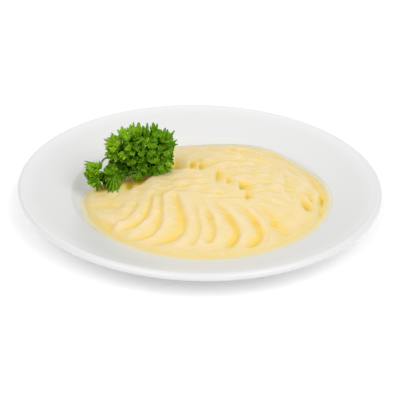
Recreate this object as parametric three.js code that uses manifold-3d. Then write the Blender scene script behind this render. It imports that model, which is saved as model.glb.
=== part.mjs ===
// A side of mashed potato on a round white plate, with a sprig of curly parsley. Millimetres, +Z up.
// The origin is the centre of the plate's foot ring, on the surface that the plate stands on.
// +X is to the right and +Y to the back when the sprig is at the left end of the mash.
import * as THREE from "three";
import { mergeVertices } from "three/addons/utils/BufferGeometryUtils.js";
import Module from "manifold-3d";

const wasm = await Module();
wasm.setup();

const GAP = 0.3; // clearance between pieces that rest on each other

// Plate: a flat floor, a low curved wall, a broad gently rising rim and a rounded lip.
const PLATE_RADIUS = 120;
const PLATE_SEGMENTS = 60;
const FLOOR_RADIUS = 68;
const FLOOR_TOP = 6.5;
const WELL_RADIUS = 85; // where the wall runs out into the rim
const WELL_TOP = 13.2;
const RIM_END_RADIUS = 115.6;
const RIM_END_TOP = 21.45;
const LIP_RADIUS = 2.5;
const LIP_CENTRE_Z = 19.5;
const LIP_START = 1.95; // angles of the lip's arc, in radians from outward, over the top first
const LIP_END = -1.3;
const LIP_STEPS = 5;
const FOOT_OUTER = 74.4;
const FOOT_INNER = 67.6;
const FOOT_BEVEL = 0.7;
const FOOT_ROOT_RADIUS = 76; // where the foot ring grows out of the underside
const FOOT_ROOT_Z = 3;
const RECESS_RADIUS = 65.6;
const RECESS_Z = 2.4;
// Handles of the section's cubic Bezier curves, as [radius, height], in the order of the outline.
const WALL_HANDLES = [[76, 6.5], [81, 9.6]];
const RIM_HANDLES = [[95, 15.9], [106.5, 19.2]];
const UNDERSIDE_HANDLES = [[105.2, 13.1], [87.4, 8.5]];
const PROFILE_STEPS = 4;

// Mash: a low mound that fills the well, worked with the bowl of a spoon into overlapping strokes.
const MOUND_TOP = 25.5;
const EDGE_HEIGHT = 0.4;
const EDGE_BLUNT = 0.2; // least thickness above the clearance
const EDGE_SLACK = 1.5; // the thin edge clears even the plate's top this much further out
const FEATHER = 7; // width over which the mound thins out at its edge
const EDGE_RADII = [87.5, 83, 83, 78.5, 76, 67, 78, 82, 88, 92.5, 91, 89.5]; // every 30 degrees from +X
const QUIET_MARGIN = 11; // the strokes fade out over this width along the outline
const MOUND_COLUMNS = 56;
const MOUND_ROWS = 36;
const BACK_CROWDING = 0.1; // rows stand closer at the back, where the strokes lie along X
const BASE_RINGS = [1, 0.86, 0.74]; // shares of the outline
const BASE_DEPTH = 2; // the uncut mound reaches this far below the plate's top

// A stroke is the crease at the foot of one crescent: [start, belly, belly, end, depth, width].
// Seen along its run, the surface falls slowly to it from the right, and rises steeply on the left to the next
// crescent's crest.
const FAN_LEFT = [
  [[-47, -32], [-56, -30], [-56, -27], [-70, -20], 0.7, 3],
  [[-40, -24], [-41, -38], [-46, -51], [-56, -48], 0.75, 1],
  [[-69, -32], [-63, -51], [-52, -44], [-56, -61], 1.1, 0.75],
  [[-31, -16], [-31, -42], [-33, -58], [-51, -58], 1.5, 0.8],
  [[-36, -57], [-42, -63], [-47, -64], [-55, -63], 0.6, 1.2],
  [[-25, -15], [-26, -41], [-17, -75], [-46, -69], 1.35, 0.8],
  [[-16, -16], [-16, -43], [6, -73], [-32, -76], 1.6, 1.25],
];
const FAN_RIGHT = [
  [[-6, -24], [-2, -48], [6, -66], [-7, -81], 1.2, 0.75],
  [[1, -26], [5, -48], [16, -67], [3, -78], 1.6, 0.8],
  [[6, -27], [19, -45], [34, -70], [14, -80], 2, 0.95],
  [[21, -28], [34, -45], [49, -66], [27, -79], 2, 1],
  [[26, -29], [42, -34], [48, -63], [39, -75], 0.6, 0.9],
  [[36, -29], [41, -35], [49, -40], [47, -56], 1, 1.2],
  [[32, -28], [49, -23], [58, -31], [63, -48], 0.5, 0.8],
];
const FOLDS = [
  [[2, 9], [-13, 11], [-30, 27], [-43, -13], 2.4, 1.1],
  [[9, -8], [-3, -14], [-16, -8], [-29, -27], 0.7, 0.8],
  [[20, -20], [4, -29], [-7, -13], [-21, -21], 0.6, 0.7],
  [[5, -1], [-4, -6], [-9, 0], [-21, -6], 0.5, 0.7],
  [[40, -25], [28, -24], [22, -25], [11, -29], 0.5, 0.6],
  [[-52, -10], [-55, -24], [-58, -19], [-67, -6], 0.4, 0.6],
];
const SWEEPS = [
  [[58, 11], [41, 17], [30, 6], [16, 3], 0.7, 0.7],
  [[47, 25], [35, 23], [16, 15], [16, 12], 0.5, 0.7],
  [[56, -2], [46, 0], [41, -4], [34, -7], 0.6, 0.7],
  [[55, -13], [48, -13], [42, -12], [35, -19], 0.5, 0.7],
  [[52, 32], [42, 39], [35, 44], [15, 40], 1.3, 0.9],
  [[57, 22], [46, 30], [21, 39], [4, 15], 0.9, 0.85],
  [[27, 53], [21, 42], [5, 41], [4, 60], 1.4, 1],
  [[10, 29], [4, 32], [-1, 32], [-4, 21], 0.7, 0.8],
  [[19, 60], [25, 54], [23, 48], [32, 57], 1, 0.8],
  [[43, 58], [49, 54], [53, 50], [61, 49], 0.7, 1.1],
  [[3, 44], [-4, 45], [-9, 46], [-14, 36], 0.8, 0.9],
  [[42, 41], [33, 48], [33, 49], [26, 47], 0.9, 0.8],
];
const RIGHT_END = [
  [[71, 10], [67, 17], [63, 15], [60, 35], 0.8, 0.7],
  [[57, -18], [56, -4], [59, -4], [57, 22], 0.8, 0.8],
  [[60, -21], [59, -14], [60, -9], [58, -6], 0.6, 0.7],
  [[80, -19], [82, 1], [76, 14], [69, 29], 1.3, 1.2],
  [[74, -23], [73, -15], [73, -7], [69, 4], 0.7, 0.8],
  [[68, -22], [66, -15], [64, -13], [62, -1], 0.6, 0.8],
];
// fadeIn is the share of a stroke's run over which it rises from nothing.
const STROKE_GROUPS = [
  { strokes: FAN_LEFT, fadeIn: 0.2 },
  { strokes: FAN_RIGHT, fadeIn: 0.45 },
  { strokes: [...FOLDS, ...SWEEPS, ...RIGHT_END], fadeIn: 0.15 },
];
const STROKE_FADE_OUT = 0.12;
const STROKE_STEPS = 14;
const NARROWEST = 0.5; // share of its width at which a stroke starts
const OPENING_SHARE = 0.6; // share of its run over which it opens to its full width
const CREST_HEIGHT = 0.7; // share of the crease's depth
const CREST_RISE = 3;
const CREST_REACH = 8;
const TROUGH_REACH = 2.6;
const SLOPE_REACH = 4;
const CREASE_POWER = 1.5;
// Hollows where the spoon was set down, deep at one end: [x, y, direction in which the floor rises slowly, in
// degrees, half width, reach of the steep end, reach of the slow end, depth].
const HOLLOWS = [
  [-16.5, 22.5, 0, 9, 2, 5, 1.5],
  [-6.5, 20, 0, 6.5, 0.8, 3.2, 3],
  [-0.5, 17.5, 3, 6.5, 0.8, 4.8, 3],
  [11, 3, -2, 8, 0.8, 3.6, 3],
  [18, -3.5, 0, 5, 0.8, 3.6, 2.2],
  [26.5, -9.5, -2, 5.2, 0.8, 5.6, 3.4],
  [30.5, -21.5, -2, 4.6, 0.8, 3.2, 2.6],
  [12.5, -22, 0, 1.3, 2.5, 2.5, 1.2],
  [68.5, -24, 12, 6, 2, 3, 3],
  [80, -14.5, 176, 8, 1.4, 2.4, 3],
  [78, -30, 0, 4.5, 0.7, 0.9, 2.6],
  [70.5, -9.5, 0, 2.2, 2, 2, 1.6],
  [72.5, -15, 0, 2.8, 1, 1.2, 1.4],
  [-46, -4, 0, 8, 1.8, 2.4, 1.4],
  [50, -56.5, 93, 5.5, 7, 14, 1.7],
  [17.5, -80, 60, 3.6, 1.2, 4, 0.7],
  [31.5, -78, 60, 3.6, 1.2, 4, 0.7],
];
const HOLLOW_POWER_ALONG = 1.6;
const HOLLOW_POWER_ACROSS = 2.5;

// Parsley: tufts of curled leaf on short stalks, each [centre, radii].
const TUFTS = [
  [[-40, 10, 43], [19, 10, 15.5]],
  [[-27, 9, 40], [10.5, 10, 15]],
  [[-54, 8, 42], [10, 8, 9]],
  [[-44, 4, 30], [14, 8, 11]],
  [[-29, 4, 32], [11, 8, 11]],
  [[-58, -4, 24], [7, 8, 12]],
  [[-70, -5, 25], [6, 4.5, 12]],
  [[-65, -4, 21], [5, 5, 8]],
];
const TUFT_COLUMNS = 12;
const TUFT_ROWS = 7;
const RUFFLE_DEPTH = 0.09; // share of a tuft's radius
const RUFFLES_ROUND = 6;
const RUFFLES_UP = 5;
const STALK_RADIUS = 1.3;
const STALK_SIDES = 3;
const STALK_STEPS = 8;
// The stalk arches between two tufts.
const STALK_PATH = [[-67, -4, 32], [-65.5, -1, 37.5], [-61, 2, 37.5], [-54, 5, 34]];

const WELD_DISTANCE = 1e-3;

const PLATE_WHITE = 0xf1f1ef;
const PLATE_ROUGHNESS = 0.15;
const MASH_CREAM = 0xf3dc9a;
const MASH_ROUGHNESS = 0.5;
const PARSLEY_GREEN = 0x3f7a1c;
const PARSLEY_ROUGHNESS = 0.55;

function smoothstep(low, high, value) {
  const share = Math.min(Math.max((value - low) / (high - low), 0), 1);
  return share * share * (3 - 2 * share);
}

// Points along a cubic Bezier curve in a plane, given its ends and handles.
function bezierPoints(corners, steps) {
  const vectors = corners.map(([across, up]) => new THREE.Vector2(across, up));
  return new THREE.CubicBezierCurve(...vectors).getPoints(steps);
}

// The plate's upper surface from the axis to the lip, as points of radius and height.
function plateUpperProfile() {
  const [floorEnd, wellEdge] = [[FLOOR_RADIUS, FLOOR_TOP], [WELL_RADIUS, WELL_TOP]];
  const wall = bezierPoints([floorEnd, ...WALL_HANDLES, wellEdge], PROFILE_STEPS);
  const rim = bezierPoints([wellEdge, ...RIM_HANDLES, [RIM_END_RADIUS, RIM_END_TOP]], PROFILE_STEPS);
  return [new THREE.Vector2(0, FLOOR_TOP), ...wall, ...rim.slice(1)];
}

const UPPER_PROFILE = plateUpperProfile();

// Height of the plate's upper surface at a radius.
function plateTop(radius) {
  const next = UPPER_PROFILE.findIndex((point) => point.x >= radius);
  if (next < 0) {
    return RIM_END_TOP;
  }
  if (next === 0) {
    return FLOOR_TOP;
  }
  const [inner, outer] = [UPPER_PROFILE[next - 1], UPPER_PROFILE[next]];
  return THREE.MathUtils.mapLinear(radius, inner.x, outer.x, inner.y, outer.y);
}

function plateGeometry() {
  const lip = [];
  for (let step = 0; step <= LIP_STEPS; step += 1) {
    const angle = THREE.MathUtils.lerp(LIP_START, LIP_END, step / LIP_STEPS);
    const radius = PLATE_RADIUS - LIP_RADIUS + LIP_RADIUS * Math.cos(angle);
    lip.push(new THREE.Vector2(radius, LIP_CENTRE_Z + LIP_RADIUS * Math.sin(angle)));
  }
  const lipEnd = lip[LIP_STEPS].toArray();
  const footRoot = [FOOT_ROOT_RADIUS, FOOT_ROOT_Z];
  const underside = bezierPoints([lipEnd, ...UNDERSIDE_HANDLES, footRoot], PROFILE_STEPS);
  const foot = [
    new THREE.Vector2(FOOT_OUTER + FOOT_BEVEL, FOOT_BEVEL),
    new THREE.Vector2(FOOT_OUTER, 0),
    new THREE.Vector2(FOOT_INNER, 0),
    new THREE.Vector2(FOOT_INNER - FOOT_BEVEL, FOOT_BEVEL),
    new THREE.Vector2(RECESS_RADIUS, RECESS_Z),
    new THREE.Vector2(0, RECESS_Z),
  ];
  const outline = [...UPPER_PROFILE, ...lip, ...underside.slice(1), ...foot];
  // LatheGeometry turns about Y, and its faces point outwards when the profile runs upwards outside.
  const geometry = new THREE.LatheGeometry(outline.reverse(), PLATE_SEGMENTS);
  geometry.rotateX(Math.PI / 2);
  return weld(geometry);
}

// Radius of the mash's outline in a direction, by Catmull-Rom interpolation round the circle.
function edgeRadius(angle) {
  const count = EDGE_RADII.length;
  const turn = (((angle / (2 * Math.PI)) % 1) + 1) % 1;
  const place = turn * count;
  const index = Math.floor(place) % count;
  const share = place - Math.floor(place);
  const [before, here, next, after] = [-1, 0, 1, 2].map((k) => EDGE_RADII[(index + k + count) % count]);
  const cubic = 3 * (here - next) + after - before;
  const square = 2 * before - 5 * here + 4 * next - after;
  return here + 0.5 * share * (next - before + share * (square + share * cubic));
}

// Each stroke's run as points along a cubic Bezier curve.
const STROKE_RUNS = STROKE_GROUPS.flatMap(({ strokes, fadeIn }) =>
  strokes.map(([start, bellyIn, bellyOut, end, depth, width]) => {
    const points = bezierPoints([start, bellyIn, bellyOut, end], STROKE_STEPS);
    return { points, depth, width, fadeIn };
  }),
);

// Section across a stroke: a slow fall to the crease, then a steep rise to the next crescent's crest.
function strokeSection(distance) {
  if (distance < 0) {
    return -Math.exp(-((-distance / SLOPE_REACH) ** CREASE_POWER));
  }
  const rise = 1 - Math.exp(-((distance / CREST_RISE) ** CREASE_POWER));
  const crest = rise * Math.exp(-((distance / CREST_REACH) ** 2));
  return CREST_HEIGHT * crest - Math.exp(-((distance / TROUGH_REACH) ** CREASE_POWER));
}

function strokeRelief(x, y, { points, depth, width, fadeIn }) {
  let nearest = Infinity;
  let side = 1;
  let place = 0;
  for (let i = 0; i < STROKE_STEPS; i += 1) {
    const [from, to] = [points[i], points[i + 1]];
    const [dx, dy] = [to.x - from.x, to.y - from.y];
    const along = ((x - from.x) * dx + (y - from.y) * dy) / (dx * dx + dy * dy);
    const share = Math.min(Math.max(along, 0), 1);
    const [offX, offY] = [x - from.x - share * dx, y - from.y - share * dy];
    const distance = Math.hypot(offX, offY);
    if (distance < nearest) {
      nearest = distance;
      side = offX * dy - offY * dx > 0 ? -1 : 1;
      place = (i + share) / STROKE_STEPS;
    }
  }
  const fade = smoothstep(0, fadeIn, place) * (1 - smoothstep(1 - STROKE_FADE_OUT, 1, place));
  const opening = NARROWEST + (1 - NARROWEST) * smoothstep(0, OPENING_SHARE, place);
  return depth * fade * strokeSection((side * nearest) / (width * opening));
}

function hollowRelief(x, y, [centreX, centreY, turn, halfWidth, steepReach, slowReach, depth]) {
  const angle = THREE.MathUtils.degToRad(turn);
  const [alongX, alongY] = [Math.cos(angle), Math.sin(angle)];
  const along = (x - centreX) * alongX + (y - centreY) * alongY;
  const across = (y - centreY) * alongX - (x - centreX) * alongY;
  const reach = along < 0 ? steepReach : slowReach;
  const lengthwise = Math.exp(-(Math.abs(along / reach) ** HOLLOW_POWER_ALONG));
  return -depth * lengthwise * Math.exp(-(Math.abs(across / halfWidth) ** HOLLOW_POWER_ACROSS));
}

// Height of the mash's upper surface.
function mashTop(x, y) {
  const radius = Math.hypot(x, y);
  const outline = edgeRadius(Math.atan2(y, x));
  const inset = outline - radius;
  const edge = plateTop(outline) + EDGE_HEIGHT;
  const mound = edge + (MOUND_TOP - edge) * (1 - (radius / outline) ** 2);
  const strokes = STROKE_RUNS.reduce((sum, run) => sum + strokeRelief(x, y, run), 0);
  const hollows = HOLLOWS.reduce((sum, hollow) => sum + hollowRelief(x, y, hollow), 0);
  const relief = (strokes + hollows) * smoothstep(0, QUIET_MARGIN, inset);
  const plate = plateTop(radius);
  const thickness = (mound + relief - plate) * smoothstep(0, FEATHER, inset);
  return Math.max(plate + thickness, plateTop(radius + EDGE_SLACK) + GAP + EDGE_BLUNT);
}

// A point of the mound's grid: u and v run from -1 to 1 and the square is bent into the outline.
function mouldPoint(u, v) {
  const x = u * Math.sqrt(1 - (v * v) / 2);
  const y = v * Math.sqrt(1 - (u * u) / 2);
  const angle = Math.atan2(y, x);
  const radius = edgeRadius(angle) * Math.hypot(x, y);
  return [radius * Math.cos(angle), radius * Math.sin(angle)];
}

// The uncut mound as one closed body: a top of square cells, a side and a base of rings inside the plate.
function moundGeometry() {
  const positions = [];
  const faces = [];
  const addVertex = (x, y, z) => positions.push(x, y, z) / 3 - 1;
  const addQuad = (a, b, c, d) => faces.push(a, b, c, a, c, d);

  const top = [];
  for (let row = 0; row <= MOUND_ROWS; row += 1) {
    const plain = (2 * row) / MOUND_ROWS - 1;
    const v = plain + BACK_CROWDING * (1 - plain * plain);
    top.push([]);
    for (let column = 0; column <= MOUND_COLUMNS; column += 1) {
      const [x, y] = mouldPoint((2 * column) / MOUND_COLUMNS - 1, v);
      top[row].push(addVertex(x, y, mashTop(x, y)));
    }
  }
  for (let row = 0; row < MOUND_ROWS; row += 1) {
    for (let column = 0; column < MOUND_COLUMNS; column += 1) {
      const [a, b] = [top[row][column], top[row][column + 1]];
      const [d, c] = [top[row + 1][column], top[row + 1][column + 1]];
      const leansRight = row < MOUND_ROWS / 2 === column < MOUND_COLUMNS / 2;
      if (leansRight) {
        addQuad(a, b, c, d);
      } else {
        addQuad(b, c, d, a);
      }
    }
  }

  // The outline's grid points, counter-clockwise.
  const outline = [
    ...top[0].slice(0, -1),
    ...top.slice(0, -1).map((line) => line[MOUND_COLUMNS]),
    ...top[MOUND_ROWS].slice(1).reverse(),
    ...top.slice(1).reverse().map((line) => line[0]),
  ];
  let upper = outline;
  for (const share of BASE_RINGS) {
    const lower = outline.map((index) => {
      const [x, y] = [positions[3 * index] * share, positions[3 * index + 1] * share];
      return addVertex(x, y, plateTop(Math.hypot(x, y)) - BASE_DEPTH);
    });
    for (let i = 0; i < outline.length; i += 1) {
      const next = (i + 1) % outline.length;
      addQuad(upper[i], lower[i], lower[next], upper[next]);
    }
    upper = lower;
  }
  const centre = addVertex(0, 0, FLOOR_TOP - BASE_DEPTH);
  for (let i = 0; i < outline.length; i += 1) {
    faces.push(upper[i], centre, upper[(i + 1) % outline.length]);
  }
  return indexedGeometry(positions, faces);
}

// One tuft: an egg-shaped body whose surface is ruffled like curled leaf.
function tuftGeometry([centre, radii], index) {
  const geometry = new THREE.SphereGeometry(1, TUFT_COLUMNS, TUFT_ROWS);
  const positions = geometry.getAttribute("position");
  for (let i = 0; i < positions.count; i += 1) {
    const point = new THREE.Vector3().fromBufferAttribute(positions, i);
    const around = Math.atan2(point.z, point.x);
    const up = Math.asin(THREE.MathUtils.clamp(point.y, -1, 1));
    const ruffle = Math.sin(RUFFLES_ROUND * around + index) * Math.cos(RUFFLES_UP * up + index);
    point.multiplyScalar(1 + RUFFLE_DEPTH * ruffle * Math.cos(up));
    positions.setXYZ(i, point.x, point.y, point.z);
  }
  geometry.rotateX(Math.PI / 2);
  geometry.scale(...radii);
  geometry.translate(...centre);
  return weld(geometry);
}

function stalkGeometry() {
  const section = new THREE.Shape();
  section.absarc(0, 0, STALK_RADIUS, 0, 2 * Math.PI, false);
  const path = new THREE.CatmullRomCurve3(STALK_PATH.map((point) => new THREE.Vector3(...point)));
  const options = { steps: STALK_STEPS, curveSegments: STALK_SIDES, extrudePath: path };
  return weld(new THREE.ExtrudeGeometry(section, options));
}

function weld(geometry) {
  geometry.deleteAttribute("normal");
  geometry.deleteAttribute("uv");
  return mergeVertices(geometry, WELD_DISTANCE);
}

function indexedGeometry(positions, faces) {
  const geometry = new THREE.BufferGeometry();
  geometry.setAttribute("position", new THREE.Float32BufferAttribute(positions, 3));
  geometry.setIndex(faces);
  return geometry;
}

function solidOf(geometry) {
  const vertProperties = new Float32Array(geometry.getAttribute("position").array);
  const triVerts = new Uint32Array(geometry.index.array);
  return new wasm.Manifold(new wasm.Mesh({ numProp: 3, vertProperties, triVerts }));
}

function named(name, solid, color, roughness) {
  const { vertProperties, triVerts } = solid.getMesh();
  const geometry = indexedGeometry(Array.from(vertProperties), Array.from(triVerts));
  const mesh = new THREE.Mesh(geometry, new THREE.MeshStandardMaterial({ color, roughness }));
  mesh.name = name;
  return mesh;
}

// The mash is cut to lie on the plate, and the sprig to lie on both, each with the clearance below it.
const lift = [0, 0, GAP];
const plate = solidOf(plateGeometry());
const mash = solidOf(moundGeometry()).subtract(plate).subtract(plate.translate(lift));
const tufts = [...TUFTS.map(tuftGeometry), stalkGeometry()].map(solidOf);
const supports = [plate, plate.translate(lift), mash, mash.translate(lift)];
const sprig = supports.reduce((left, support) => left.subtract(support), wasm.Manifold.union(tufts));

const dish = new THREE.Group();
dish.add(named("plate", plate, PLATE_WHITE, PLATE_ROUGHNESS));
dish.add(named("mash", mash, MASH_CREAM, MASH_ROUGHNESS));
dish.add(named("parsley_sprig", sprig, PARSLEY_GREEN, PARSLEY_ROUGHNESS));

export default dish;
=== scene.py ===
"""A plate of mashed potato with a sprig of curly parsley: the looks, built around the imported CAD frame.

Shapes are worked out in millimetres in the frame's axes and scaled to metres as each mesh is made.
"""
import math

import bpy
import numpy as np
from mathutils import Matrix, Vector


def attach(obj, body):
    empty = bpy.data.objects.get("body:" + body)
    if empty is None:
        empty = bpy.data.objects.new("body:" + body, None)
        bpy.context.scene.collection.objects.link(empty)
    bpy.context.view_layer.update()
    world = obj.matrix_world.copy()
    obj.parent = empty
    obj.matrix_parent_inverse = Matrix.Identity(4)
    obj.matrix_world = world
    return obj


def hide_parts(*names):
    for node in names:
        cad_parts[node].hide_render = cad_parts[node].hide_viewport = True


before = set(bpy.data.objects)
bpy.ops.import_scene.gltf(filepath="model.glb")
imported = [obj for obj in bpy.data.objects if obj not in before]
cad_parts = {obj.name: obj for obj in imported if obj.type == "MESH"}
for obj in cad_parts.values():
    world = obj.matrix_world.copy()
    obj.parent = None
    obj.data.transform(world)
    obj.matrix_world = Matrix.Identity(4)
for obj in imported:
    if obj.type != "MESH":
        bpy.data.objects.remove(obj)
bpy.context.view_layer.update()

MM = 0.001
SEED = 7
rng = np.random.default_rng(SEED)

# Camera: a long lens that looks down on the plate from the front, with the horizon a little off level.
CAMERA_DISTANCE = 900
CAMERA_AIM = (0.24, -27.74, 22)
CAMERA_ELEVATION = 28.708  # degrees
CAMERA_ROLL = 1.308
LENS = 125.72
SENSOR = 36

# Light: an even white sky and two broad soft keys in front, the stronger one on the right.
SKY_STRENGTH = 0.71
KEY_SIZE = 45  # degrees
# Azimuth to the right of the front and elevation, both in degrees, and strength.
KEYS = ((48, 43, 1.2), (-40, 43, 0.96))
FLOOR_HALF_WIDTH = 3000
FLOOR_SURFACE = {
    "Base Color": (0.95, 0.95, 0.95, 1),
    "Roughness": 1,
    "Specular IOR Level": 0,
    "Emission Color": (1, 1, 1, 1),
    "Emission Strength": 0.1,
}

# Plate: a flat floor, a low curved wall, a broad gently rising rim, a rounded lip and a foot ring.
PLATE_RADIUS = 120
PLATE_SEGMENTS = 240
FLOOR_RADIUS = 68
FLOOR_TOP = 6.5
WELL_RADIUS = 85  # where the wall runs out into the rim
WELL_TOP = 13.2
RIM_END_RADIUS = 115.6
RIM_END_TOP = 21.45
LIP_RADIUS = 2.5
LIP_CENTRE_Z = 19.5
LIP_START = 1.95  # angles of the lip's arc, in radians from outward, over the top first
LIP_END = -1.3
LIP_STEPS = 18
FOOT_OUTER = 74.4
FOOT_INNER = 67.6
FOOT_BEVEL = 0.7
FOOT_ROOT = (76, 3)  # radius and height where the foot ring grows out of the underside
RECESS_RADIUS = 65.6
RECESS_Z = 2.4
# Handles of the section's cubic Bezier curves, as radius and height. The underside's count from its ends.
WALL_HANDLES = ((76, 6.5), (81, 9.6))
RIM_HANDLES = ((95, 15.9), (106.5, 19.2))
UNDERSIDE_HANDLES = ((-13, -4), (11.4, 5.5))
PROFILE_STEPS = 22
# Grey of the glaze by radius: its own white on the well and rim, lightest at the end of the rim with painted
# light, and darkest round the lip with painted shade.
GLAZE_RADII = (60, 107, 115, 117.5, 119, 121)
GLAZE_GREYS_WITH_PAINTED_LIGHT = (0.69, 0.69, 0.73, 0.725, 0.65, 0.63)
GLAZE_ROUGHNESS = 0.28
GLAZE_RIPPLE_SCALE = 40
GLAZE_RIPPLE_DETAIL = 2
GLAZE_BUMP = (0.02, 0.0005)  # strength, and height in metres

# Mash: a low mound that fills the well, worked with the bowl of a spoon into overlapping strokes.
MOUND_TOP = 25.5
EDGE_HEIGHT = 0.4
EDGE_BLUNT = 0.08  # least thickness
FEATHER = 7  # width over which the mound thins out at its edge
FILM = 4.5  # width over which the edge lets the plate shine through
MARGIN_SHADE = 0.8  # taken off the relief that tints the mash, at its outline
MARGIN_WIDTH = 15
EDGE_RADII = (87.5, 83, 83, 78.5, 76, 67, 78, 82, 88, 92.5, 91, 89.5)  # every 30 degrees from +X
QUIET_MARGIN = 11  # the strokes fade out over this width along the outline
MOUND_CELLS = 290
UNDERSIDE_RINGS = (1, 0.97, 0.94, 0.9, 0.84, 0.77)  # shares of the outline
UNDERSIDE_DROP = 1.2  # how far the underside lies below the plate's top

# A stroke is the crease at the foot of one crescent: start, belly, belly, end, depth, width.
# Seen along its run, the surface falls slowly to it from the right, and rises steeply on the left to the next
# crescent's crest.
FAN_LEFT = (
    ((-47, -32), (-56, -30), (-56, -27), (-70, -20), 0.7, 3),
    ((-40, -24), (-41, -38), (-46, -51), (-56, -48), 0.75, 1),
    ((-69, -32), (-63, -51), (-52, -44), (-56, -61), 1.1, 0.75),
    ((-31, -16), (-31, -42), (-33, -58), (-51, -58), 1.5, 0.8),
    ((-36, -57), (-42, -63), (-47, -64), (-55, -63), 0.6, 1.2),
    ((-25, -15), (-26, -41), (-17, -75), (-46, -69), 1.35, 0.8),
    ((-16, -16), (-16, -43), (6, -73), (-32, -76), 1.6, 1.25),
)
FAN_RIGHT = (
    ((-6, -24), (-2, -48), (6, -66), (-7, -81), 1.2, 0.75),
    ((1, -26), (5, -48), (16, -67), (3, -78), 1.6, 0.8),
    ((6, -27), (19, -45), (34, -70), (14, -80), 2, 0.95),
    ((21, -28), (34, -45), (49, -66), (27, -79), 2, 1),
    ((26, -29), (42, -34), (48, -63), (39, -75), 0.6, 0.9),
    ((36, -29), (41, -35), (49, -40), (47, -56), 1, 1.2),
    ((32, -28), (49, -23), (58, -31), (63, -48), 0.5, 0.8),
)
FOLDS = (
    ((2, 9), (-13, 11), (-30, 27), (-43, -13), 2.4, 1.1),
    ((9, -8), (-3, -14), (-16, -8), (-29, -27), 0.7, 0.8),
    ((20, -20), (4, -29), (-7, -13), (-21, -21), 0.6, 0.7),
    ((5, -1), (-4, -6), (-9, 0), (-21, -6), 0.5, 0.7),
    ((40, -25), (28, -24), (22, -25), (11, -29), 0.5, 0.6),
    ((-52, -10), (-55, -24), (-58, -19), (-67, -6), 0.4, 0.6),
)
SWEEPS = (
    ((58, 11), (41, 17), (30, 6), (16, 3), 0.7, 0.7),
    ((47, 25), (35, 23), (16, 15), (16, 12), 0.5, 0.7),
    ((56, -2), (46, 0), (41, -4), (34, -7), 0.6, 0.7),
    ((55, -13), (48, -13), (42, -12), (35, -19), 0.5, 0.7),
    ((52, 32), (42, 39), (35, 44), (15, 40), 1.3, 0.9),
    ((57, 22), (46, 30), (21, 39), (4, 15), 0.9, 0.85),
    ((27, 53), (21, 42), (5, 41), (4, 60), 1.4, 1),
    ((10, 29), (4, 32), (-1, 32), (-4, 21), 0.7, 0.8),
    ((19, 60), (25, 54), (23, 48), (32, 57), 1, 0.8),
    ((43, 58), (49, 54), (53, 50), (61, 49), 0.7, 1.1),
    ((3, 44), (-4, 45), (-9, 46), (-14, 36), 0.8, 0.9),
    ((42, 41), (33, 48), (33, 49), (26, 47), 0.9, 0.8),
)
RIGHT_END = (
    ((71, 10), (67, 17), (63, 15), (60, 35), 0.8, 0.7),
    ((57, -18), (56, -4), (59, -4), (57, 22), 0.8, 0.8),
    ((60, -21), (59, -14), (60, -9), (58, -6), 0.6, 0.7),
    ((80, -19), (82, 1), (76, 14), (69, 29), 1.3, 1.2),
    ((74, -23), (73, -15), (73, -7), (69, 4), 0.7, 0.8),
    ((68, -22), (66, -15), (64, -13), (62, -1), 0.6, 0.8),
)
# Strokes with the share of their run over which they rise from nothing.
STROKE_GROUPS = ((FAN_LEFT, 0.2), (FAN_RIGHT, 0.45), (FOLDS + SWEEPS + RIGHT_END, 0.15))
STROKE_STEPS = 24
STROKE_FADE_OUT = 0.12
NARROWEST = 0.5  # share of its width at which a stroke starts
OPENING_SHARE = 0.6  # share of its run over which it opens to its full width
CREST_HEIGHT = 0.7  # share of the crease's depth
CREST_RISE = 3
CREST_REACH = 8
TROUGH_REACH = 2.6
SLOPE_REACH = 4
CREASE_POWER = 1.5
# Fine ripples that the spoon drags along beside a crease.
DRAG_SPACING = 2.3
DRAG_DEPTH = 0.03
DRAG_REACH = 7
# Hollows where the spoon was set down, deep at one end: x, y, direction in which the floor rises slowly, in
# degrees, half width, reach of the steep end, reach of the slow end, depth.
HOLLOWS = (
    (-16.5, 22.5, 0, 9, 2, 5, 1.5),
    (-6.5, 20, 0, 6.5, 0.8, 3.2, 3),
    (-0.5, 17.5, 3, 6.5, 0.8, 4.8, 3),
    (11, 3, -2, 8, 0.8, 3.6, 3),
    (18, -3.5, 0, 5, 0.8, 3.6, 2.2),
    (26.5, -9.5, -2, 5.2, 0.8, 5.6, 3.4),
    (30.5, -21.5, -2, 4.6, 0.8, 3.2, 2.6),
    (12.5, -22, 0, 1.3, 2.5, 2.5, 1.2),
    (68.5, -24, 12, 6, 2, 3, 3),
    (80, -14.5, 176, 8, 1.4, 2.4, 3),
    (78, -30, 0, 4.5, 0.7, 0.9, 2.6),
    (70.5, -9.5, 0, 2.2, 2, 2, 1.6),
    (72.5, -15, 0, 2.8, 1, 1.2, 1.4),
    (-46, -4, 0, 8, 1.8, 2.4, 1.4),
    (50, -56.5, 93, 5.5, 7, 14, 1.7),
    (17.5, -80, 60, 3.6, 1.2, 4, 0.7),
    (31.5, -78, 60, 3.6, 1.2, 4, 0.7),
)
HOLLOW_POWER_ALONG = 1.6
HOLLOW_POWER_ACROSS = 2.5
# Painted shadow on the mash under and round the parsley: x, y, turn in degrees, reach along, reach across,
# strength.
PARSLEY_SHADOWS = (
    (-46, -2, 90, 9, 3.2, 7.5),
    (-41, 2, 0, 6, 6, 5),
    (-35, 12, 0, 7, 7, 5),
    (-65, 2, 90, 7, 5, 5),
    (-62, 0, 90, 6, 4, 6),
    (-44, 12, 0, 20, 14, 5.5),
    (-17, 23, 90, 9, 4, 0.6),
)
PARSLEY_SHADOW_POWER = 1.5
# Unevenness of the surface: number of waves, shortest and longest wave, height.
UNEVENNESS = ((9, 7, 16, 0.08), (12, 2.6, 5, 0.02))
UNEVENNESS_SEED = 3
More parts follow.
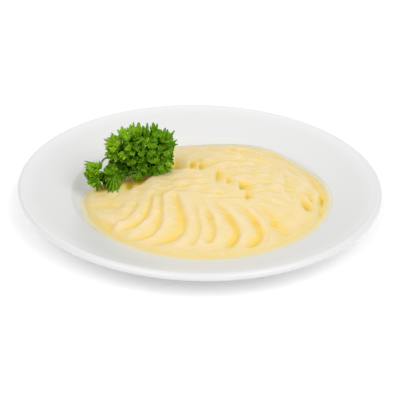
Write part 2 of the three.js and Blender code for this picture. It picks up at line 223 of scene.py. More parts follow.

# Colour by relief, which paints the shade: painted shadow under the parsley, painted shade in the hollows and
# in the creases, then the colour between them and on the crests.
MASH_RELIEFS = (-7, -3.5, -1.8, -0.5, 0.9)
MASH_COLOURS = ((0.5, 0.32, 0.002), (0.6, 0.46, 0.09), (0.82, 0.575, 0.11),
                (0.77, 0.607, 0.275), (0.785, 0.642, 0.405))
FILM_COLOUR = (0.71, 0.68, 0.55, 1)
MARGIN_TONE = (0.92, 0.95, 1, 1)  # multiplies the colour at the outline
MASH_SURFACE = {
    "Specular IOR Level": 0.12,
    "Roughness": 0.42,
    "Subsurface Weight": 0.6,
    "Subsurface Radius": (1, 0.6, 0.25),
    "Subsurface Scale": 0.002,
}
MASH_GRAIN_SCALE = 350
MASH_GRAIN_DETAIL = 4
MASH_BUMP = (0.25, 0.0004)  # strength, and height in metres

# Parsley leaflets seen on the outside: base, tip, number of teeth, half spread in radians, tone, which holds
# painted light and shade as well as the leaflet's own tone.
OUTER_LEAFLETS = (
    ((-53, 7, 41), (-63.5, 7, 47.5), 4, 0.45, 0.85),
    ((-53, 7, 42), (-59, 8, 50.5), 3, 0.35, 0.85),
    ((-50, 8, 44), (-52.5, 8, 56), 3, 0.42, 0.85),
    ((-45, 8, 44), (-46, 8, 58.5), 4, 0.4, 0.75),
    ((-41, 9, 44), (-42, 9, 58.5), 3, 0.35, 0.6),
    ((-36, 10, 43), (-37, 10, 57), 4, 0.5, 0.4),
    ((-31, 11, 44), (-30, 11, 58.5), 4, 0.42, 0.45),
    ((-26, 10, 42), (-24, 10, 54), 4, 0.45, 0.5),
    ((-25, 10, 41), (-20, 10, 52.5), 4, 0.4, 0.45),
    ((-24, 9, 40), (-16, 9, 48), 4, 0.5, 0.3),
    ((-24, 8, 39), (-16.5, 8, 42.5), 3, 0.4, 0.5),
    ((-24, 7, 36), (-17.5, 7, 38), 4, 0.55, 0.6),
    ((-25, 6, 32), (-18, 6, 31.5), 4, 0.6, 0.7),
    ((-25, 5, 29), (-18, 4, 25.5), 4, 0.55, 0.8),
    ((-27, 4, 29), (-22.5, 2, 23.5), 4, 0.5, 0.75),
    ((-31, 3, 28), (-28, -1, 23), 4, 0.5, 0.5),
    ((-35, 2, 30), (-34.5, 0, 24), 3, 0.5, 0.3),
    ((-40, 0, 29), (-42, -6, 22.5), 4, 0.55, 0.2),
    ((-45, 1, 29), (-46.5, -4.5, 24), 4, 0.5, 0.1),
    ((-50, 0, 28), (-51.5, -4, 21.5), 3, 0.45, 0.15),
    ((-54, 7, 38), (-64, 7, 42), 3, 0.35, 0.85),
    ((-54, 7, 36), (-63, 7, 38), 4, 0.4, 0.8),
    ((-55, 6, 35), (-62, 6, 34.5), 4, 0.45, 0.7),
    ((-55, 5, 33), (-60, 5, 31.5), 3, 0.5, 0.45),
    ((-49, 13, 38), (-49, 13, 47.5), 4, 0.5, 0.3),
    ((-44, 13, 39), (-44, 13, 53.5), 4, 0.4, 0.2),
    ((-39, 13, 40), (-39.5, 13, 53), 4, 0.5, 0.15),
    ((-34, 13, 40), (-34, 13, 51.5), 4, 0.5, 0.1),
    ((-30, 13, 40), (-27.5, 13, 51.5), 4, 0.5, 0.15),
    ((-26, 13, 38), (-22.5, 13, 47.5), 4, 0.6, 0.2),
    ((-22, 11, 37), (-19, 11, 44), 4, 0.6, 0.2),
    ((-58, 2, 30), (-59.5, -3, 23.5), 4, 0.5, 0.3),
    ((-56, -1, 30), (-53.5, -11, 16), 5, 0.35, 0.6),
    ((-56.5, -4, 28), (-56.5, -14, 12), 6, 0.33, 0.6),
    ((-58, -4, 28), (-60, -11, 16), 4, 0.3, 0.3),
    ((-61, -2, 29), (-66, -2, 21), 4, 0.45, 0.12),
    ((-57, 3, 34), (-55.5, 0, 26.5), 4, 0.5, 0.35),
    ((-59, 3, 31), (-61, 1, 26), 4, 0.5, 0.35),
    ((-61, -4, 28), (-63.5, -5, 22.5), 4, 0.45, 0),
    ((-64, -5, 29), (-66, -6, 24.5), 4, 0.4, 0.1),
    ((-54, 0, 29), (-51.5, -2, 21), 4, 0.4, 0.15),
    ((-65, -3, 32), (-78, -3, 33.5), 3, 0.3, 0.8),
    ((-65, -4, 30), (-67.5, -4, 36), 4, 0.6, 0.7),
    ((-66, -5, 30), (-71.5, -5, 36), 4, 0.45, 0.8),
    ((-66, -4, 32), (-76, -4, 31.5), 4, 0.35, 0.75),
    ((-66, -5, 31), (-73, -5, 22), 4, 0.35, 0.6),
    ((-66, -5, 30), (-72, -6, 16.5), 4, 0.3, 0.5),
    ((-66.5, -6, 29), (-69.5, -8, 13), 4, 0.25, 0.35),
    ((-66, -7, 33), (-69.5, -7, 27), 5, 0.5, 0.8),
    ((-41, 1, 41), (-42, 1, 47), 5, 0.9, 0.5),
    ((-35, 3, 45), (-34.5, 3, 51), 5, 0.8, 0.9),
    ((-33, 1, 43), (-32.5, 1, 48), 4, 0.9, 0.6),
    ((-29, -2, 34), (-30, -2, 39), 5, 0.9, 0.6),
    ((-52, 0, 37), (-52, 0, 42), 5, 0.9, 0.8),
    ((-38, -1, 38), (-39, -1, 43), 4, 0.8, 0.4),
    ((-46, 1, 42), (-49, 1, 46), 5, 0.9, 0.8),
    ((-27, 2, 41), (-26, 2, 46), 4, 0.8, 0.4),
    ((-44, -1, 32), (-44.5, -1, 37), 5, 0.9, 0.35),
    ((-36, -1, 27), (-39, -1, 30.5), 4, 0.8, 0.35),
    ((-48, 0, 33), (-49.5, 0, 38.5), 4, 0.9, 0.1),
    ((-57, 1, 40), (-58, 1, 45), 4, 0.8, 0.8),
    ((-54, 2, 44), (-55.5, 2, 49), 4, 0.8, 0.8),
    ((-48, 3, 47), (-48.5, 3, 53), 4, 0.8, 0.7),
    ((-30, 4, 49), (-29.5, 4, 55), 4, 0.8, 0.3),
    ((-23, 1, 37), (-21.5, 1, 43), 4, 0.8, 0.5),
    ((-21, -1, 31), (-20.5, -1, 36), 4, 0.8, 0.8),
    ((-32, -1, 38), (-33, -1, 44), 4, 0.8, 0.35),
    ((-26, -3, 29), (-26, -3, 34), 4, 0.8, 0.6),
)
# Tufts of smaller curled leaflets behind and between them: centre, radii, number of leaflets, range of tone.
# The darkest tufts paint shade into the inside of the sprig and the gaps under it.
TUFTS = (
    ((-40, 11, 38), (14, 4, 10), 44, (0, 0.1)),
    ((-27, 8, 33), (7, 4, 9), 24, (0, 0.1)),
    ((-54, 8, 39), (8, 8, 8), 22, (0.5, 0.9)),
    ((-40, 8, 42), (11, 10, 10), 32, (0.1, 0.8)),
    ((-28, 8, 38), (9, 9, 11), 32, (0.15, 0.6)),
    ((-48, 4, 32), (8, 6, 8.5), 26, (-0.6, 0.1)),
    ((-35, 4, 31), (11, 7, 8), 28, (0.05, 0.4)),
    ((-58, -1, 22), (5, 4, 9), 24, (0.15, 0.7)),
    ((-56, 3, 29), (5, 4, 5), 14, (-0.4, 0.5)),
    ((-70, -3, 25), (3.6, 2.6, 7), 12, (0.4, 0.9)),
    ((-43, 4, 27), (9, 4, 4), 14, (-0.3, 0.1)),
    ((-45, 7, 32), (8, 2, 6), 14, (-0.6, -0.2)),
    ((-62.5, 1, 22.5), (1, 1, 2.5), 5, (-0.5, 0)),
)
# How light a blade is painted at a share r of its length: r * (LIT_RISE - LIT_FALL * r); painted shade
# darkens its base, deep in the sprig, and its tips are darker.
LIT_RISE = 2
LIT_FALL = 1.45
LEAF_MOTTLE = 0.23  # how much the mottling adds and takes away at most
LEAF_MOTTLE_SCALE = 850
LEAF_MOTTLE_DETAIL = 2
LEAF_MOTTLE_NOISE = (0.3, 0.7)  # noise at which the mottling takes most away and adds most
# Leaf colours by tone: from the near-black of painted shade inside the sprig to yellow-green painted light.
LEAF_TONES = (0, 0.5, 1)
LEAF_COLOURS = ((0.008, 0.036, 0.0005), (0.088, 0.225, 0.002), (0.3, 0.5, 0.015))
LEAF_SURFACE = {
    "Roughness": 0.5,
    "Specular IOR Level": 0.1,
    "Subsurface Weight": 0.3,
    "Subsurface Radius": (0.4, 1, 0.1),
    "Subsurface Scale": 0.001,
}
# Stems: start, belly, belly, end, radius.
STEMS = (
    ((-54.5, 5, 33.5), (-59.5, 3, 36.5), (-65.5, -1, 38.5), (-65, -4, 32), 0.7),
    ((-54.5, 5, 33), (-54.5, 3, 29.5), (-54.5, -3, 25), (-54, -6, 20.5), 0.45),
    ((-44, 6, 32.5), (-48, 4, 30), (-53, 1, 29), (-57, -2, 24.5), 0.9),
    ((-41.5, -2, 28), (-44, -3, 28.5), (-46, -3, 28), (-49, -3, 26), 0.35),
)
STEM_SIDES = 10
STEM_STEPS = 16
STEM_TAPER = (1.15, 0.8)  # share of the radius at the start and at the end
OFF_STEMS = (0, 1, 0.01)  # a direction that no stem runs along
STEM_COLOURS = ((0.03, 0.09, 0.01), (0.09, 0.17, 0.02))
STEM_ROUGHNESS = 0.45
STEM_MOTTLE_SCALE = 400
STEM_MOTTLE_DETAIL = 2
# Blades of leaf: shares are of a leaflet's size, from its base to its tips.
TOOTH_STEPS = 4
TOOTH_POWER = 1.4  # above 1, the teeth are rounder than triangles
TOOTH_LENGTHS = (0.8, 1.05)
LAST_LENGTH = 0.9  # at the blade's far corner
SIDE_SHORTENING = 0.15
LEAFLET_RINGS = 5
BLADE_START = 0.07
CURL_POWER = 1.5
LEAF_THICKNESS = 0.35
TIP_THINNING = 0.45
LEAF_CLEARANCE = 0.2
TINY = 1e-9  # keeps a division from failing
# Ranges of the random draws.
NOTCHES = (0.22, 0.38)
CUPS = (-0.3, 0.05)
RUFFLES = (0.06, 0.16)
PHASES = (0, 6.28)
TUFT_SIZES = (7, 11)
TUFT_TEETH = (5, 7)  # the second number is left out of the draw
TUFT_SPREADS = (0.5, 0.95)
# Where the outer leaflets face, and how much the random draws turn the leaflets from their mean directions.
OUTER_FACING = (0, -1, 0.35)
OUTER_SCATTER = 0.25
TUFT_SCATTER = 0.15
TUFT_LEANING = 0.4
TUFT_ROOTING = 0.8  # share of a leaflet inside its tuft


def smoothstep(low, high, value):
    share = np.clip((value - low) / (high - low), 0, 1)
    return share * share * (3 - 2 * share)


def bezier(corners, steps):
    """Points along a cubic Bezier curve, ends included."""
    a, b, c, d = (np.array(corner, float) for corner in corners)
    t = np.linspace(0, 1, steps + 1)[:, None]
    return (1 - t) ** 3 * a + 3 * (1 - t) ** 2 * t * b + 3 * (1 - t) * t * t * c + t ** 3 * d


def make_object(name, points, faces, smooth=True):
    """A mesh object from points in millimetres and faces of any length."""
    mesh = bpy.data.meshes.new(name)
    mesh.from_pydata((np.asarray(points) * MM).tolist(), [], faces)
    mesh.validate()
    mesh.update()
    mesh.polygons.foreach_set("use_smooth", [smooth] * len(mesh.polygons))
    piece = bpy.data.objects.new(name, mesh)
    bpy.context.scene.collection.objects.link(piece)
    return piece


def grid_faces(index):
    """The quads of a grid of point numbers, and the loop of numbers along its border."""
    corners = (index[:-1, :-1], index[:-1, 1:], index[1:, 1:], index[1:, :-1])
    quads = np.column_stack([corner.ravel() for corner in corners])
    border = np.concatenate([index[0, :-1], index[:-1, -1], index[-1, :0:-1], index[:0:-1, 0]])
    return quads, border


def add_point_attribute(piece, name, values):
    attribute = piece.data.attributes.new(name, "FLOAT", "POINT")
    attribute.data.foreach_set("value", np.asarray(values, np.float32))


# --- Plate ---

def plate_upper_profile():
    wall = bezier(((FLOOR_RADIUS, FLOOR_TOP), *WALL_HANDLES, (WELL_RADIUS, WELL_TOP)), PROFILE_STEPS)
    rim = bezier(((WELL_RADIUS, WELL_TOP), *RIM_HANDLES, (RIM_END_RADIUS, RIM_END_TOP)), PROFILE_STEPS)
    return np.vstack([wall, rim[1:]])


UPPER_PROFILE = plate_upper_profile()


def plate_top(radius):
    return np.interp(radius, UPPER_PROFILE[:, 0], UPPER_PROFILE[:, 1])


def lathe(name, profile, segments):
    """A closed body of revolution about Z from a profile that starts and ends on the axis."""
    ring_points = profile[1:-1]
    angles = np.arange(segments) * 2 * math.pi / segments
    points = [(0, 0, profile[0][1])]
    for radius, height in ring_points:
        points.extend((radius * math.cos(a), radius * math.sin(a), height) for a in angles)
    points.append((0, 0, profile[-1][1]))
    last = len(points) - 1
    faces = []
    for i in range(segments):
        j = (i + 1) % segments
        faces.append((0, 1 + i, 1 + j))
        for ring in range(len(ring_points) - 1):
            a = 1 + ring * segments
            b = a + segments
            faces.append((a + i, b + i, b + j, a + j))
        a = 1 + (len(ring_points) - 1) * segments
        faces.append((a + i, last, a + j))
    return make_object(name, points, faces)


def build_plate():
    angles = np.linspace(LIP_START, LIP_END, LIP_STEPS + 1)
    lip = np.column_stack([PLATE_RADIUS - LIP_RADIUS + LIP_RADIUS * np.cos(angles),
                           LIP_CENTRE_Z + LIP_RADIUS * np.sin(angles)])
    end = lip[-1]
    near_lip, near_foot = UNDERSIDE_HANDLES
    underside = bezier((end, end + near_lip, np.add(FOOT_ROOT, near_foot), FOOT_ROOT), PROFILE_STEPS)
    foot = [(FOOT_OUTER + FOOT_BEVEL, FOOT_BEVEL), (FOOT_OUTER, 0), (FOOT_INNER, 0),
            (FOOT_INNER - FOOT_BEVEL, FOOT_BEVEL), (RECESS_RADIUS, RECESS_Z), (0, RECESS_Z)]
    profile = [(0, FLOOR_TOP), *UPPER_PROFILE, *lip, *underside[1:], *foot]
    plate = lathe("plate_glazed", profile, PLATE_SEGMENTS)
    plate.data.materials.append(glaze_material())
    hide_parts("plate")
    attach(plate, "root")


# --- Mash ---

def edge_radius(angle):
    """Radius of the mash's outline in a direction, by Catmull-Rom interpolation round the circle."""
    radii = np.array(EDGE_RADII, float)
    count = len(radii)
    place = np.asarray(angle) / (2 * math.pi) * count
    index = np.floor(place).astype(int)
    share = place - index
    before, here, after, beyond = (radii[(index + k) % count] for k in (-1, 0, 1, 2))
    cubic = 3 * (here - after) + beyond - before
    square = 2 * before - 5 * here + 4 * after - beyond
    return here + 0.5 * share * (after - before + share * (square + share * cubic))


def stroke_section(distance):
    """Section across a stroke: a slow fall to the crease, then a steep rise to the next crescent's crest."""
    slope = -np.exp(-(np.abs(distance) / SLOPE_REACH) ** CREASE_POWER)
    ahead = np.maximum(distance, 0)
    crest = (1 - np.exp(-(ahead / CREST_RISE) ** CREASE_POWER)) * np.exp(-(ahead / CREST_REACH) ** 2)
    trough = np.exp(-(ahead / TROUGH_REACH) ** CREASE_POWER)
    return np.where(distance < 0, slope, CREST_HEIGHT * crest - trough)


def stroke_distance(x, y, corners):
    """Signed distance to a stroke's run, above 0 on its left, and the share of the run there."""
    run = bezier(corners, STROKE_STEPS)
    nearest = np.full(x.shape, np.inf)
    side = np.ones(x.shape)
    place = np.zeros(x.shape)
    for i, ((ax, ay), (bx, by)) in enumerate(zip(run[:-1], run[1:])):
        dx, dy = bx - ax, by - ay
        share = np.clip(((x - ax) * dx + (y - ay) * dy) / (dx * dx + dy * dy), 0, 1)
        off_x = x - ax - share * dx
        off_y = y - ay - share * dy
        distance = off_x ** 2 + off_y ** 2
        closer = distance < nearest
        nearest = np.where(closer, distance, nearest)
        side = np.where(closer, np.where(off_x * dy - off_y * dx > 0, -1, 1), side)
        place = np.where(closer, (i + share) / STROKE_STEPS, place)
    return side * np.sqrt(nearest), place


def unevenness(x, y):
    """A slight random waviness, the same at each call."""
    waves = np.random.default_rng(UNEVENNESS_SEED)
    height = np.zeros(x.shape)
    for count, shortest, longest, size in UNEVENNESS:
        for _ in range(count):
            turn, phase = waves.uniform(0, 2 * math.pi, 2)
            pitch = 2 * math.pi / waves.uniform(shortest, longest)
            height += size * np.sin(pitch * (x * math.cos(turn) + y * math.sin(turn)) + phase)
    return height


def turned(x, y, centre_x, centre_y, turn):
    """Distances from a centre along a direction given in degrees, and across it."""
    along_x, along_y = math.cos(math.radians(turn)), math.sin(math.radians(turn))
    along = (x - centre_x) * along_x + (y - centre_y) * along_y
    across = (y - centre_y) * along_x - (x - centre_x) * along_y
    return along, across


def stroke_relief(x, y, corners, depth, width, fade_in):
    distance, place = stroke_distance(x, y, corners)
    fade = smoothstep(0, fade_in, place) * (1 - smoothstep(1 - STROKE_FADE_OUT, 1, place))
    opening = NARROWEST + (1 - NARROWEST) * smoothstep(0, OPENING_SHARE, place)
    ripple = DRAG_DEPTH * np.cos(2 * math.pi * distance / DRAG_SPACING)
    drag = ripple * np.exp(-(distance / DRAG_REACH) ** 2)
    return fade * (depth * stroke_section(distance / width / opening) + drag)


def hollow_relief(x, y, centre_x, centre_y, turn, half_width, steep_reach, slow_reach, depth):
    along, across = turned(x, y, centre_x, centre_y, turn)
    reach = np.where(along < 0, steep_reach, slow_reach)
    lengthwise = np.exp(-(np.abs(along) / reach) ** HOLLOW_POWER_ALONG)
    return -depth * lengthwise * np.exp(-np.abs(across / half_width) ** HOLLOW_POWER_ACROSS)


def mash_relief(x, y):
    relief = np.zeros(x.shape)
    for strokes, fade_in in STROKE_GROUPS:
        for *corners, depth, width in strokes:
            relief += stroke_relief(x, y, corners, depth, width, fade_in)
    for hollow in HOLLOWS:
        relief += hollow_relief(x, y, *hollow)
    return relief + unevenness(x, y)


# Painted shadow of the parsley, as a sum of soft spots, taken off the relief that tints the mash.
def painted_parsley_shadow(x, y):
    total = np.zeros(x.shape)
    for centre_x, centre_y, turn, reach_along, reach_across, strength in PARSLEY_SHADOWS:
        along, across = turned(x, y, centre_x, centre_y, turn)
        spread = (along / reach_along) ** 2 + (across / reach_across) ** 2
        total += strength * np.exp(-spread ** PARSLEY_SHADOW_POWER)
    return total


def mash_top(x, y):
    """Height of the mash's upper surface, the relief less the margin shade and the painted parsley shadow,
    from which the colour paints shade, and the distance in from its outline.
    """
    radius = np.hypot(x, y)
    outline = edge_radius(np.arctan2(y, x))
    inset = outline - radius
    edge = plate_top(outline) + EDGE_HEIGHT
    mound = edge + (MOUND_TOP - edge) * (1 - (radius / outline) ** 2)
    relief = mash_relief(x, y) * smoothstep(0, QUIET_MARGIN, inset)
    plate = plate_top(np.minimum(radius, outline))
    thickness = (mound + relief - plate) * smoothstep(0, FEATHER, inset)
    # Painted shade: the colour is read off this value, low in the creases, hollows, margin and under the
    # parsley.
    painted_shading = relief - MARGIN_SHADE * (1 - smoothstep(0, MARGIN_WIDTH, inset)) - painted_parsley_shadow(x, y)
    return plate + np.maximum(thickness, EDGE_BLUNT), painted_shading, inset


def mould_grid(cells):
    """A square grid bent into the mash's outline."""
    u, v = np.meshgrid(np.linspace(-1, 1, cells + 1), np.linspace(-1, 1, cells + 1))
    x = u * np.sqrt(1 - v * v / 2)
    y = v * np.sqrt(1 - u * u / 2)
    angle = np.arctan2(y, x)
    radius = edge_radius(angle) * np.hypot(x, y)
    return radius * np.cos(angle), radius * np.sin(angle)


def build_mash():
    x, y = mould_grid(MOUND_CELLS)
    z, relief, inset = mash_top(x, y)
    side = MOUND_CELLS + 1
    index = np.arange(side * side).reshape(side, side)
    points = np.column_stack([x.ravel(), y.ravel(), z.ravel()]).tolist()
    quads, outline = grid_faces(index)
    faces = quads.tolist()
    edge_x, edge_y = x.ravel()[outline], y.ravel()[outline]
    upper = outline
    for share in UNDERSIDE_RINGS:
        ring_x, ring_y = edge_x * share, edge_y * share
        lower = len(points) + np.arange(len(outline))
        ring_z = plate_top(np.hypot(ring_x, ring_y)) - UNDERSIDE_DROP
        points.extend(np.column_stack([ring_x, ring_y, ring_z]).tolist())
        ring = (upper, lower, np.roll(lower, -1), np.roll(upper, -1))
        faces.extend(np.column_stack(ring).tolist())
        upper = lower
    centre = len(points)
    points.append((0, 0, FLOOR_TOP - UNDERSIDE_DROP))
    faces.extend((int(a), centre, int(b)) for a, b in zip(upper, np.roll(upper, -1)))
    mash = make_object("mash_mound", points, faces)
    below = len(points) - side * side
    # The relief attribute carries the relief with the margin shade and painted parsley shadow taken off, from
    # which the material paints shade.
    add_point_attribute(mash, "relief", np.concatenate([relief.ravel(), np.zeros(below)]))
    add_point_attribute(mash, "inset", np.concatenate([inset.ravel(), np.zeros(below)]))
    mash.data.materials.append(mash_material())
    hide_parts("mash")
    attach(mash, "root")


# --- Parsley ---

def leaflet(size, teeth, spread, notch, cup, ruffle, phase):
    """One toothed, cupped and ruffled blade in its own axes, where it grows from the origin along +Y."""
    place = np.linspace(0, teeth, teeth * TOOTH_STEPS + 1)
    off_tooth = np.abs(place - np.floor(place) - 0.5) * 2
    lengths = np.append(rng.uniform(*TOOTH_LENGTHS, teeth), LAST_LENGTH)[np.floor(place).astype(int)]
    across = place / teeth * 2 - 1
    toothed = 1 - notch + (lengths - 1 + notch) * (1 - off_tooth ** TOOTH_POWER)
    reach = toothed * (1 - SIDE_SHORTENING * across ** 2)
    angle = across * spread
    share = np.linspace(BLADE_START, 1, LEAFLET_RINGS + 1)[:, None]
    radius = share * reach[None, :] * size
    wave = np.sin(math.pi * place + phase) * ruffle
    z = size * share ** CURL_POWER * (cup * share + wave)
    return radius * np.sin(angle), radius * np.cos(angle), z, np.broadcast_to(radius / size, z.shape)


def unit(vector):
    return vector / np.linalg.norm(vector)


def blade_shell(x, y, z):
    """Thickens a blade grid into a closed shell and returns its points and faces."""
    rows, columns = x.shape
    grid = np.stack([x, y, z], -1)
    normal = np.cross(np.gradient(grid, axis=1), np.gradient(grid, axis=0))
    normal /= np.linalg.norm(normal, axis=-1, keepdims=True) + TINY
    half = LEAF_THICKNESS / 2 * np.linspace(1, TIP_THINNING, rows)[:, None, None]
    points = np.concatenate([(grid + normal * half).reshape(-1, 3), (grid - normal * half).reshape(-1, 3)])
    under = rows * columns
    quads, loop = grid_faces(np.arange(under).reshape(rows, columns))
    following = np.roll(loop, -1)
    rim = np.column_stack([following, loop, loop + under, following + under])
    return points, np.vstack([quads, quads[:, ::-1] + under, rim])


def ground_height(x, y):
    """Top of whatever lies below: the mash, or the plate beyond it."""
    radius = np.hypot(x, y)
    on_mash = radius < edge_radius(np.arctan2(y, x))
    return np.where(on_mash, mash_top(x, y)[0], plate_top(radius))


def sphere_directions(count, turn):
    """Evenly spread directions."""
    k = np.arange(count) + 0.5
    up = 1 - 2 * k / count
    angle = math.pi * (1 + 5 ** 0.5) * k + turn
    flat = np.sqrt(1 - up ** 2)
    return np.column_stack([flat * np.cos(angle), flat * np.sin(angle), up])


def parsley_blades():
    """Where each leaflet grows: base, growth axis, facing, size, teeth, half spread, tone with painted light
    and shade.
    """
    for base, tip, teeth, spread, tone_and_painted_light in OUTER_LEAFLETS:
        base, reach = np.array(base, float), np.subtract(tip, base)
        size = np.linalg.norm(reach)
        facing = np.array(OUTER_FACING) + rng.normal(0, OUTER_SCATTER, 3)
        yield base, reach / size, facing, size, teeth, spread, tone_and_painted_light
    for number, (centre, radii, count, tones) in enumerate(TUFTS):
        for direction in sphere_directions(count, number):
            direction = unit(direction + rng.normal(0, TUFT_SCATTER, 3))
            size = rng.uniform(*TUFT_SIZES)
            axis = unit(direction + rng.normal(0, TUFT_LEANING, 3))
            base = np.array(centre) + np.array(radii) * direction - axis * size * TUFT_ROOTING
            facing = rng.normal(0, 1, 3)
            teeth = int(rng.integers(*TUFT_TEETH))
            yield base, axis, facing, size, teeth, rng.uniform(*TUFT_SPREADS), rng.uniform(*tones)


def build_parsley():
    all_points, all_faces, light, tones = [], [], [], []
    start = 0
    for base, axis, facing, size, teeth, spread, tone_and_painted_light in parsley_blades():
        across = unit(np.cross(axis, facing))
        facing = np.cross(across, axis)
        x, y, z, share = leaflet(size, teeth, spread, rng.uniform(*NOTCHES), rng.uniform(*CUPS),
                                 rng.uniform(*RUFFLES), rng.uniform(*PHASES))
        points, faces = blade_shell(x, y, z)
        points = base + points[:, :1] * across + points[:, 1:2] * axis + points[:, 2:] * facing
        upper = np.arange(len(points)) < len(points) // 2
        lift = np.where(upper, LEAF_CLEARANCE + LEAF_THICKNESS, LEAF_CLEARANCE)
        points[:, 2] = np.maximum(points[:, 2], ground_height(points[:, 0], points[:, 1]) + lift)
        all_points.append(points)
        all_faces.append(faces + start)
        start += len(points)
        # Painted shade: each blade is darker at its base, inside the sprig, and towards its tips.
        light.append(np.tile((share * (LIT_RISE - LIT_FALL * share)).ravel(), 2))
        # Each leaflet's tone carries painted light and shade as well as its own colour.
        tones.append(np.full(len(points), tone_and_painted_light))
    parsley = make_object("parsley_leaves", np.vstack(all_points), np.vstack(all_faces).tolist())
    add_point_attribute(parsley, "light", np.concatenate(light))
    add_point_attribute(parsley, "tone_and_painted_light", np.concatenate(tones))
    parsley.data.materials.append(leaf_material())
    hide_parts("parsley_sprig")
    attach(parsley, "root")


def build_stems():
    """Round stems that taper a little towards their ends."""
    points, faces = [], []
    for *corners, radius in STEMS:
        path = bezier(corners, STEM_STEPS)
        along = np.gradient(path, axis=0)
        first = len(points)
        for place, direction, share in zip(path, along, np.linspace(*STEM_TAPER, STEM_STEPS + 1)):
            side = unit(np.cross(direction, OFF_STEMS))
            other = unit(np.cross(direction, side))
            for angle in np.arange(STEM_SIDES) * 2 * math.pi / STEM_SIDES:
                points.append(place + radius * share * (math.cos(angle) * side + math.sin(angle) * other))
        for ring in range(STEM_STEPS):
            a = first + ring * STEM_SIDES
            for i in range(STEM_SIDES):
                j = (i + 1) % STEM_SIDES
                faces.append((a + i, a + j, a + STEM_SIDES + j, a + STEM_SIDES + i))
        faces.append(tuple(range(first + STEM_SIDES - 1, first - 1, -1)))
        last = first + STEM_STEPS * STEM_SIDES
        faces.append(tuple(range(last, last + STEM_SIDES)))
    stems = make_object("parsley_stems", points, faces)
    stems.data.materials.append(stem_material())
    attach(stems, "root")


# --- Materials ---

def new_material(name, values):
    """A material whose shader has some inputs set: its nodes, its links and the shader come with it."""
    material = bpy.data.materials.new(name)
    material.use_nodes = True
    nodes = material.node_tree.nodes
    shader = nodes["Principled BSDF"]
    for socket, value in values.items():
        shader.inputs[socket].default_value = value
    return material, nodes, material.node_tree.links, shader


def attribute_value(nodes, name):
    attribute = nodes.new("ShaderNodeAttribute")
    attribute.attribute_name = name
    return attribute.outputs["Fac"]


def mapped(nodes, links, value, low, high, to_low=0, to_high=1):
    """A value mapped from one range to another and held within it."""
    share = nodes.new("ShaderNodeMapRange")
    share.inputs["From Min"].default_value = low
    share.inputs["From Max"].default_value = high
    share.inputs["To Min"].default_value = to_low
    share.inputs["To Max"].default_value = to_high
    links.new(value, share.inputs["Value"])
    return share.outputs["Result"]


def colour_ramp(nodes, links, value, places, colours):
    """Colours at places given in any rising unit, read at a value that runs from 0 to 1 over them."""
    ramp = nodes.new("ShaderNodeValToRGB")
    elements = ramp.color_ramp.elements
    while len(elements) < len(places):
        elements.new(0.5)
    for element, place, colour in zip(elements, places, colours):
        element.position = (place - places[0]) / (places[-1] - places[0])
        element.color = (*colour, 1)
    links.new(value, ramp.inputs["Fac"])
    return ramp.outputs["Color"]


def noise_value(nodes, links, scale, detail):
    """Noise that is fixed to the object, with its scale per metre."""
    coordinates = nodes.new("ShaderNodeTexCoord")
    noise = nodes.new("ShaderNodeTexNoise")
    noise.inputs["Scale"].default_value = scale
    noise.inputs["Detail"].default_value = detail
    links.new(coordinates.outputs["Object"], noise.inputs["Vector"])
    return noise.outputs["Fac"]


def add_bump(nodes, links, shader, height, strength, distance):
    bump = nodes.new("ShaderNodeBump")
    bump.inputs["Strength"].default_value = strength
    bump.inputs["Distance"].default_value = distance
    links.new(height, bump.inputs["Height"])
    links.new(bump.outputs["Normal"], shader.inputs["Normal"])


def half_added(nodes, links, value, addend):
    """Half of a value plus another one."""
    node = nodes.new("ShaderNodeMath")
    node.operation = "MULTIPLY_ADD"
    node.inputs[1].default_value = 0.5
    links.new(value, node.inputs[0])
    links.new(addend, node.inputs[2])
    return node.outputs[0]


def margin_mix(nodes, links, inset, width):
    """A colour mix that goes from its A at the mash's outline to its B a width in millimetres inside."""
    share = nodes.new("ShaderNodeMapRange")
    share.interpolation_type = "SMOOTHSTEP"
    share.inputs["From Max"].default_value = width
    mix = nodes.new("ShaderNodeMix")
    mix.data_type = "RGBA"
    links.new(inset, share.inputs["Value"])
    links.new(share.outputs["Result"], mix.inputs["Factor"])
    return mix


def glaze_material():
    material, nodes, links, shader = new_material("plate_glaze", {"Roughness": GLAZE_ROUGHNESS})
    coordinates = nodes.new("ShaderNodeTexCoord")
    flat = nodes.new("ShaderNodeVectorMath")
    flat.operation = "MULTIPLY"
    flat.inputs[1].default_value = (1, 1, 0)
    radius = nodes.new("ShaderNodeVectorMath")
    radius.operation = "LENGTH"
    links.new(coordinates.outputs["Object"], flat.inputs[0])
    links.new(flat.outputs["Vector"], radius.inputs[0])
    # Painted light and shade: the glaze's grey is read off its radius.
    place = mapped(nodes, links, radius.outputs["Value"], GLAZE_RADII[0] * MM, GLAZE_RADII[-1] * MM)
    greys = [(white, white, white) for white in GLAZE_GREYS_WITH_PAINTED_LIGHT]
    links.new(colour_ramp(nodes, links, place, GLAZE_RADII, greys), shader.inputs["Base Color"])
    ripple = noise_value(nodes, links, GLAZE_RIPPLE_SCALE, GLAZE_RIPPLE_DETAIL)
    add_bump(nodes, links, shader, ripple, *GLAZE_BUMP)
    return material


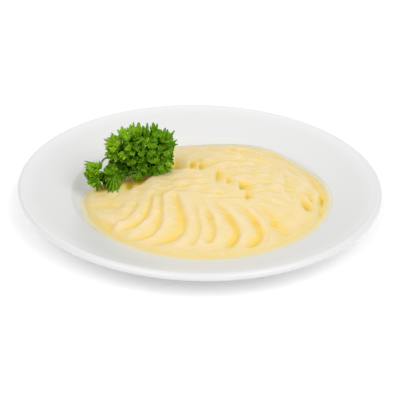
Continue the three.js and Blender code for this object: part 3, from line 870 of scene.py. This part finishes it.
def mash_material():
    material, nodes, links, shader = new_material("mashed_potato", MASH_SURFACE)
    relief = attribute_value(nodes, "relief")
    place = mapped(nodes, links, relief, MASH_RELIEFS[0], MASH_RELIEFS[-1])
    inset = attribute_value(nodes, "inset")
    margin = margin_mix(nodes, links, inset, MARGIN_WIDTH)
    margin.inputs["A"].default_value = MARGIN_TONE
    margin.inputs["B"].default_value = (1, 1, 1, 1)
    shaded = nodes.new("ShaderNodeMix")
    shaded.data_type = "RGBA"
    shaded.blend_type = "MULTIPLY"
    shaded.inputs["Factor"].default_value = 1
    film = margin_mix(nodes, links, inset, FILM)
    film.inputs["A"].default_value = FILM_COLOUR
    # Painted shade: the ramp darkens and deepens the colour in the creases and hollows and under the parsley.
    links.new(colour_ramp(nodes, links, place, MASH_RELIEFS, MASH_COLOURS), shaded.inputs["A"])
    links.new(margin.outputs["Result"], shaded.inputs["B"])
    links.new(shaded.outputs["Result"], film.inputs["B"])
    links.new(film.outputs["Result"], shader.inputs["Base Color"])
    add_bump(nodes, links, shader, noise_value(nodes, links, MASH_GRAIN_SCALE, MASH_GRAIN_DETAIL), *MASH_BUMP)
    return material


def leaf_material():
    material, nodes, links, shader = new_material("parsley_leaf", LEAF_SURFACE)
    noise = noise_value(nodes, links, LEAF_MOTTLE_SCALE, LEAF_MOTTLE_DETAIL)
    mottle = mapped(nodes, links, noise, *LEAF_MOTTLE_NOISE, -LEAF_MOTTLE, LEAF_MOTTLE)
    # Painted light and shade from the tone, with random mottling.
    toned = half_added(nodes, links, attribute_value(nodes, "tone_and_painted_light"), mottle)
    lit = half_added(nodes, links, attribute_value(nodes, "light"), toned)
    links.new(colour_ramp(nodes, links, lit, LEAF_TONES, LEAF_COLOURS), shader.inputs["Base Color"])
    return material


def stem_material():
    material, nodes, links, shader = new_material("parsley_stem", {"Roughness": STEM_ROUGHNESS})
    noise = noise_value(nodes, links, STEM_MOTTLE_SCALE, STEM_MOTTLE_DETAIL)
    links.new(colour_ramp(nodes, links, noise, (0, 1), STEM_COLOURS), shader.inputs["Base Color"])
    return material


# --- Stage ---

def build_stage():
    low, high = -FLOOR_HALF_WIDTH, FLOOR_HALF_WIDTH
    corners = [(low, low, 0), (high, low, 0), (high, high, 0), (low, high, 0)]
    floor = make_object("floor", corners, [(0, 1, 2, 3)], smooth=False)
    floor.data.materials.append(new_material("floor", FLOOR_SURFACE)[0])


def build_lights():
    world = bpy.data.worlds.new("studio")
    world.use_nodes = True
    background = world.node_tree.nodes["Background"]
    background.inputs["Color"].default_value = (1, 1, 1, 1)
    background.inputs["Strength"].default_value = SKY_STRENGTH
    bpy.context.scene.world = world
    for number, (azimuth, elevation, strength) in enumerate(KEYS):
        lamp = bpy.data.lights.new(f"key_{number}", "SUN")
        lamp.energy = strength
        lamp.angle = math.radians(KEY_SIZE)
        key = bpy.data.objects.new(f"key_{number}", lamp)
        bpy.context.scene.collection.objects.link(key)
        across, up = math.radians(azimuth), math.radians(elevation)
        towards = Vector((math.sin(across) * math.cos(up), -math.cos(across) * math.cos(up), math.sin(up)))
        key.rotation_euler = towards.to_track_quat("Z", "Y").to_euler()


def build_camera():
    elevation, roll = math.radians(CAMERA_ELEVATION), math.radians(CAMERA_ROLL)
    back = Vector((0, -math.cos(elevation), math.sin(elevation)))
    level = Vector((1, 0, 0))
    upright = back.cross(level)
    right = math.cos(roll) * level + math.sin(roll) * upright
    up = math.cos(roll) * upright - math.sin(roll) * level
    data = bpy.data.cameras.new("camera")
    data.lens = LENS
    data.sensor_width = SENSOR
    camera = bpy.data.objects.new("camera", data)
    bpy.context.scene.collection.objects.link(camera)
    place = (Vector(CAMERA_AIM) + back * CAMERA_DISTANCE) * MM
    camera.matrix_world = Matrix.Translation(place) @ Matrix((right, up, back)).transposed().to_4x4()
    bpy.context.scene.camera = camera


build_plate()
build_mash()
build_parsley()
build_stems()
build_stage()
build_lights()
build_camera()
bpy.context.scene.view_settings.view_transform = "Standard"
